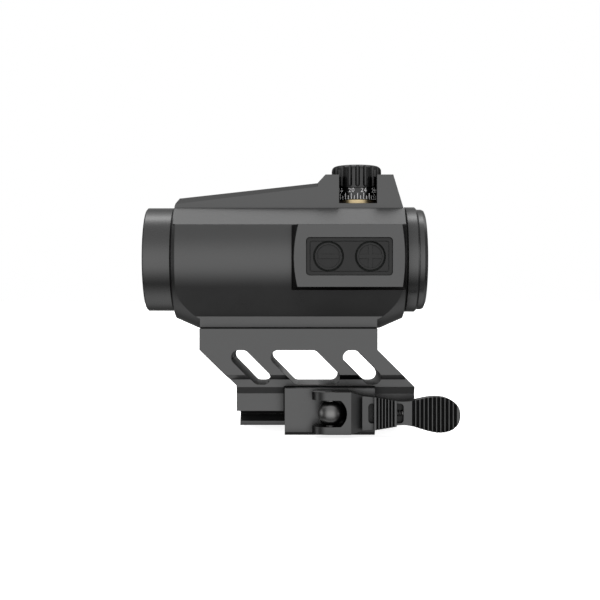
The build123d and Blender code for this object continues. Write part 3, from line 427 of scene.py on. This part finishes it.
def boardFinish():
    f = Finish("circuitBoard")
    weave = f.noise(boardLook["weave"], 2.0)
    f.fixed(metallic=0.0, specular=0.5)
    f.varied(
        colour=f.blend(weave, boardLook["low"], boardLook["high"]),
        roughness=boardLook["roughness"] + weave * 0.1,
        normal=f.bump(weave, 0.15, 0.02, f.flat()),
    )
    return f.material


emitterLook = {
    "face": ((0.5, 0.01, 0.01, 1), (0.7, 0.03, 0.02, 1)),
    "glow": ((0.8, 0.02, 0.01, 1), (1.0, 0.04, 0.02, 1)),
    "strength": 0.6, "cell": 0.3, "roughness": 0.2,
}


def emitterFinish():
    f = Finish("emitterRed")
    cell = f.noise(emitterLook["cell"], 1.0)
    f.fixed(metallic=0.0, glowStrength=emitterLook["strength"])
    f.varied(
        colour=f.blend(cell, *emitterLook["face"]),
        roughness=emitterLook["roughness"] + cell * 0.1,
        glow=f.blend(cell, *emitterLook["glow"]),
    )
    return f.material


housing = anodisedFinish("housingAnodised", anodised["housing"])
mount = anodisedFinish("mountAnodised", anodised["mount"])
ring = anodisedFinish("ringAnodised", anodised["ring"])
leverBlack = anodisedFinish("leverAnodised", anodised["lever"])
turret = anodisedFinish("turretAnodised", anodised["turret"])
innerTube = anodisedFinish("innerTubeAnodised", anodised["innerTube"])
hood = hoodFinish()
rubber = rubberFinish("keypadRubber", rubberLook["keypadGrey"])
sealRubber = rubberFinish("sealRubber", rubberLook["sealGrey"])
brass = brassFinish()
blackSteel = steelFinish("blackenedSteel", steel["black"])
boltSteel = steelFinish("polishedBlackSteel", steel["bolt"])
brightSteel = steelFinish("plainSteel", steel["bright"])
dialWhite = paintFinish()
lensGlass = glassFinish("lensGlass", glass["lens"])
windowGlass = glassFinish("windowGlass", glass["window"])
board = boardFinish()
emitterRed = emitterFinish()
print("finishes made")

wear = {
    "main_housing": housing, "objective_hood": hood, "rear_ring": ring, "eyepiece_ring": ring,
    "front_window": windowGlass, "rear_window": windowGlass, "front_lens": lensGlass,
    "cemented_lens": lensGlass, "front_window_seal": sealRubber, "rear_window_seal": sealRubber,
    "gimbal_ring": blackSteel, "inner_tube": innerTube, "lens_retainer": innerTube,
    "elevation_pivot_pins": brightSteel, "windage_pivot_pins": brightSteel,
    "emitter_holder": sealRubber, "emitter": emitterRed, "return_spring": brightSteel,
    "keypad": rubber, "button_minus": rubber, "button_plus": rubber,
    "minus_dome": blackSteel, "plus_dome": blackSteel, "keypad_board": board,
    "battery_cap": turret, "cap_seal": sealRubber, "coin_cell": brightSteel,
    "battery_contact": brightSteel, "riser": mount, "riser_screws": blackSteel, "clamp_jaw": mount,
    "cross_bolt": boltSteel, "adjusting_nut": blackSteel, "jaw_guide_pins": brightSteel,
    "jaw_springs": brightSteel, "qd_lever": leverBlack, "lever_pin": blackSteel,
    "lever_lock": leverBlack, "lever_lock_spring": brightSteel,
}
for side in ("elevation", "windage"):
    wear.update({
        side + "_base": brass, side + "_screw": brightSteel, side + "_dial": turret,
        side + "_ball": brightSteel, side + "_clip": brightSteel, side + "_knob": turret,
        side + "_seal": sealRubber,
    })
for name, item in nodes.items():
    item.data.materials.clear()
    item.data.materials.append(wear[name])
print("finishes on the nodes")


# mesh helpers
def meshFrom(name, made):
    # turns a finished bmesh into a mesh and frees it
    mesh = bpy.data.meshes.new(name)
    made.to_mesh(mesh)
    made.free()
    return mesh


def joinRings(made, first, second):
    # quads between two closed loops of the same number of vertices
    for point in range(len(first)):
        after = (point + 1) % len(first)
        made.faces.new((first[point], second[point], second[after], first[after]))


def newPiece(name, mesh, material, body):
    item = bpy.data.objects.new(name, mesh)
    bpy.context.scene.collection.objects.link(item)
    mesh.materials.clear()
    mesh.materials.append(material)
    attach(item, body)
    return item


# dial figures and ticks
dial = {
    "divisions": 48, "figureEvery": 4, "frontValue": 22, "tickWidth": 0.20, "longTick": 1.75,
    "shortTick": 1.05, "tickFoot": 0.06, "figureSize": 1.62, "figureFoot": 1.98,
    "bold": 0.01, "spacing": 1.12, "lift": 0.035, "sink": 0.05,
}


def onDial(radius, turn, height, out):
    # a point at the dial's skin, in the dial's own frame with +Z outward along the turret
    reach = radius + out
    return Vector((reach * math.cos(turn), reach * math.sin(turn), height))


def dialMarks(radius, step):
    made = bmesh.new()
    for index in range(dial["divisions"]):
        turn = math.radians((index - dial["frontValue"]) * step - 90)
        tall = dial["longTick"] if index % 2 == 0 else dial["shortTick"]
        half = dial["tickWidth"] * mm / 2 / radius
        corners = []
        for out in (-dial["sink"] * mm, dial["lift"] * mm):
            for side, height in ((-1, 0), (1, 0), (1, 1), (-1, 1)):
                level = dial["tickFoot"] * mm + height * (tall - dial["tickFoot"]) * mm
                corners.append(made.verts.new(onDial(radius, turn + side * half, level, out)))
        for face in ((3, 2, 1, 0), (4, 5, 6, 7), (0, 1, 5, 4), (1, 2, 6, 5), (2, 3, 7, 6), (3, 0, 4, 7)):
            made.faces.new([corners[i] for i in face])
    for value in range(0, dial["divisions"], dial["figureEvery"]):
        turn = math.radians((value - dial["frontValue"]) * step - 90)
        figureMesh = figures(str(value))
        for vertex in figureMesh.vertices:
            x, y, z = vertex.co
            level = dial["figureFoot"] * mm + y
            vertex.co = onDial(radius, turn + x / radius, level, z - dial["sink"] * mm)
        made.from_mesh(figureMesh)
        bpy.data.meshes.remove(figureMesh)
    return meshFrom("dialMarks", made)


def figures(text):
    curve = bpy.data.curves.new("figure", "FONT")
    curve.body = text
    curve.size = dial["figureSize"] * mm
    curve.align_x = "CENTER"
    curve.extrude = (dial["sink"] + dial["lift"]) * mm / 2
    curve.offset = dial["bold"] * mm
    curve.space_character = dial["spacing"]
    curve.resolution_u = 3
    item = bpy.data.objects.new("figure", curve)
    bpy.context.scene.collection.objects.link(item)
    bpy.context.view_layer.update()
    mesh = bpy.data.meshes.new_from_object(item.evaluated_get(bpy.context.evaluated_depsgraph_get()))
    for vertex in mesh.vertices:
        vertex.co.z += (dial["sink"] + dial["lift"]) * mm / 2
    bpy.data.objects.remove(item)
    bpy.data.curves.remove(curve)
    return mesh


def dialFrame(side):
    low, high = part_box(side + "_dial")
    radius = (high.x - low.x) / 2
    if side == "elevation":
        return radius, Matrix.Translation((turretX, 0, low.z))
    sideways = Matrix.Rotation(-math.pi / 2, 4, "X")
    return radius, Matrix.Translation((turretX, low.y, tubeAxis)) @ sideways


for side in ("elevation", "windage"):
    radius, place = dialFrame(side)
    mesh = dialMarks(radius, 360 / dial["divisions"])
    mesh.transform(place)
    newPiece(side + "DialMarks", mesh, dialWhite, side + "_turret")
print("dial marks made")


# raised rims round the faces of the two buttons
rim = {"width": 0.50, "edgeGap": 0.02, "height": 0.10, "sink": 0.06, "steps": 64, "crestPoints": 6}


def rimMesh(name, radius, front, centreX, centreZ):
    # a low rounded ring on a face that looks along -Y
    made = bmesh.new()
    outer = radius - rim["edgeGap"] * mm
    rings = []
    for step in range(rim["steps"]):
        turn = 2 * math.pi * step / rim["steps"]
        profile = []
        for point in range(rim["crestPoints"] + 1):
            across = point / rim["crestPoints"]
            rise = rim["height"] * (1 - (2 * across - 1) ** 4) * mm
            profile.append((outer - across * rim["width"] * mm, front - rise))
        profile.append((profile[-1][0], front + rim["sink"] * mm))
        profile.append((outer, front + rim["sink"] * mm))
        across, up = math.cos(turn), math.sin(turn)
        places = [(centreX + reach * across, y, centreZ + reach * up) for reach, y in profile]
        rings.append([made.verts.new(place) for place in places])
    for first, second in zip(rings, rings[1:] + rings[:1]):
        joinRings(made, first, second)
    bmesh.ops.recalc_face_normals(made, faces=made.faces)
    return meshFrom(name, made)


for sign in ("minus", "plus"):
    low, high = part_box("button_" + sign)
    centre = (low + high) / 2
    mesh = rimMesh(sign + "Rim", (high.x - low.x) / 2, low.y, centre.x, centre.z)
    newPiece(sign + "Rim", mesh, rubber, sign + "_button")
print("button rims made")


# coil springs in place of the plain sleeves
coil = {
    "steps": 20, "ringPoints": 8, "flatTurns": 1.0,
    "lockWire": 0.13, "lockTurns": 6, "jawWire": 0.17, "jawTurns": 7,
}


def coilMesh(name, radius, wire, length, turns):
    # a closed wire along +Z whose end turns lie flat
    made = bmesh.new()
    rings = []
    count = int(turns * coil["steps"])
    for step in range(count + 1):
        around = step / coil["steps"]
        run = min(max(around - coil["flatTurns"], 0), turns - 2 * coil["flatTurns"])
        rise = wire + (length - 2 * wire) * run / (turns - 2 * coil["flatTurns"])
        angle = 2 * math.pi * around
        out = Vector((math.cos(angle), math.sin(angle), 0))
        centre = out * (radius - wire) + Vector((0, 0, rise))
        loop = []
        for point in range(coil["ringPoints"]):
            bend = 2 * math.pi * point / coil["ringPoints"]
            away = out * math.cos(bend) + Vector((0, 0, math.sin(bend)))
            loop.append(made.verts.new(centre + away * wire))
        rings.append(loop)
    for first, second in zip(rings, rings[1:]):
        joinRings(made, first, second)
    made.faces.new(rings[0])
    made.faces.new(list(reversed(rings[-1])))
    for face in made.faces:
        face.smooth = True
    bmesh.ops.recalc_face_normals(made, faces=made.faces)
    return meshFrom(name, made)


def shorten(piece):
    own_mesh(piece)


def lockSpring():
    low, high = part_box("lever_lock_spring")
    radius = (high.z - low.z) / 2
    mesh = coilMesh("lockCoil", radius, coil["lockWire"] * mm, high.x - low.x, coil["lockTurns"])
    centre = (low + high) / 2
    mesh.transform(Matrix.Translation((low.x, centre.y, centre.z)) @ Matrix.Rotation(math.pi / 2, 4, "Y"))
    piece = newPiece("lockCoil", mesh, blackSteel, "lever")
    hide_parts("lever_lock_spring")
    shorten(piece)


def jawSprings():
    low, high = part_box("jaw_springs")
    radius = (high.z - low.z) / 2
    both = bmesh.new()
    for x in (low.x + radius, high.x - radius):
        mesh = coilMesh("jawCoil", radius, coil["jawWire"] * mm, high.y - low.y, coil["jawTurns"])
        place = Matrix.Translation((x, low.y, (low.z + high.z) / 2)) @ Matrix.Rotation(-math.pi / 2, 4, "X")
        mesh.transform(place)
        both.from_mesh(mesh)
        bpy.data.meshes.remove(mesh)
    piece = newPiece("jawCoils", meshFrom("jawCoils", both), brightSteel, "sight")
    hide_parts("jaw_springs")


lockSpring()
jawSprings()
for sign in ("minus", "plus"):
    low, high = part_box(sign + "_dome")
    shorten(nodes[sign + "_dome"])
print("springs made")


# floor, light and camera; lengths in millimetres, but floorSize and clip in metres
studio = {
    "camera": (-7.8, -316.25, 29.6), "lens": 69.0, "sensor": 36, "clip": (0.01, 100),
    "floorSize": 30.0, "floorPatch": 400.0, "floorGlow": 0.86,
    # brightness of the room around the X axis: 0 is level in front, 90 overhead, 180 level behind
    "around": [
        (-180, 0.62), (-150, 0.40), (-118, 1.00), (-90, 0.90), (-75, 0.55), (-57, 0.08),
        (-38, 0.60), (-20, 1.25), (0, 1.32), (16, 1.24), (38, 0.80), (62, 0.70),
        (84, 0.72), (103, 3.15), (118, 2.10), (138, 1.40), (180, 0.62),
    ],
    # and how it falls off towards both sides, by the sine of the angle from the middle plane
    "sideways": [(0.0, 1.0), (0.45, 1.0), (0.78, 0.22), (0.93, 0.10), (1.0, 0.50)],
    "ends": 0.70, "endStops": [(0.94, 0.0), (1.0, 1.0)],  # added straight out to both ends
    "overhead": {"at": (-20, 700, 3200), "aim": (-8, 0, 35), "size": (2600, 900), "power": 12.0},
}


def floorPiece():
    made = bmesh.new()
    half = studio["floorSize"] / 2
    outline = ((-half, -half), (half, -half), (half, half), (-half, half))
    made.faces.new([made.verts.new((x, y, cadLow.z)) for x, y in outline])
    mesh = meshFrom("studioFloor", made)
    f = Finish("paleFloor")
    patch = f.noise(studio["floorPatch"], 2.0)
    f.fixed(metallic=0.0, glow=tone(1.0), glowStrength=studio["floorGlow"])
    f.varied(colour=f.blend(patch, tone(0.90), tone(0.93)), roughness=0.85 + patch * 0.1)
    mesh.materials.append(f.material)
    item = bpy.data.objects.new("studioFloor", mesh)
    bpy.context.scene.collection.objects.link(item)
    item.visible_diffuse = False
    item.visible_glossy = False
    item.visible_transmission = False


def areaLight(name, look):
    light = bpy.data.lights.new(name, "AREA")
    light.shape = "RECTANGLE"
    light.size, light.size_y = [side * mm for side in look["size"]]
    light.energy = look["power"]
    item = bpy.data.objects.new(name, light)
    item.location = Vector(look["at"]) * mm
    aim = Vector(look["aim"]) * mm - item.location
    item.rotation_euler = aim.to_track_quat("-Z", "Y").to_euler()
    bpy.context.scene.collection.objects.link(item)


def worldLight():
    # one soft room: its brightness turns around the X axis and falls off to the sides
    world = bpy.data.worlds.new("studioWorld")
    bpy.context.scene.world = world
    world.use_nodes = True
    tree = world.node_tree
    tree.nodes.clear()
    room = Maker(tree)
    direction = room.node("ShaderNodeTexCoord", {}, {}).out("Generated")
    parts = room.node("ShaderNodeSeparateXYZ", {}, {"Vector": direction})
    x, y, z = parts.out("X"), parts.out("Y"), parts.out("Z")
    turn = room.maths("ARCTAN2", z, 0 - y)
    aside = room.maths("ABSOLUTE", x)
    top = max(grey for angle, grey in studio["around"])
    around = [(angle / 360 + 0.5, grey / top) for angle, grey in studio["around"]]
    ends = room.ramp(aside, studio["endStops"]) * (studio["ends"] / top)
    shade = room.ramp(turn / (2 * math.pi) + 0.5, around) * room.ramp(aside, studio["sideways"]) + ends
    lit = room.node("ShaderNodeBackground", {}, {"Color": shade, "Strength": top}).out(0)
    plain = room.node("ShaderNodeBackground", {}, {"Color": (1, 1, 1, 1), "Strength": 1.0}).out(0)
    seen = room.node("ShaderNodeLightPath", {}, {}).out("Is Camera Ray")
    both = room.node("ShaderNodeMixShader", {}, {"Fac": seen, 1: lit, 2: plain}).out(0)
    room.node("ShaderNodeOutputWorld", {}, {"Surface": both})


def cameraPiece():
    data = bpy.data.cameras.new("camera")
    data.lens = studio["lens"]
    data.sensor_width = studio["sensor"]
    data.clip_start, data.clip_end = studio["clip"]
    item = bpy.data.objects.new("camera", data)
    item.location = Vector(studio["camera"]) * mm
    item.rotation_euler = (math.pi / 2, 0, 0)
    bpy.context.scene.collection.objects.link(item)
    bpy.context.scene.camera = item


floorPiece()
areaLight("overheadSoftbox", studio["overhead"])
worldLight()
cameraPiece()
bpy.context.scene.view_settings.view_transform = "Standard"
print("studio ready")
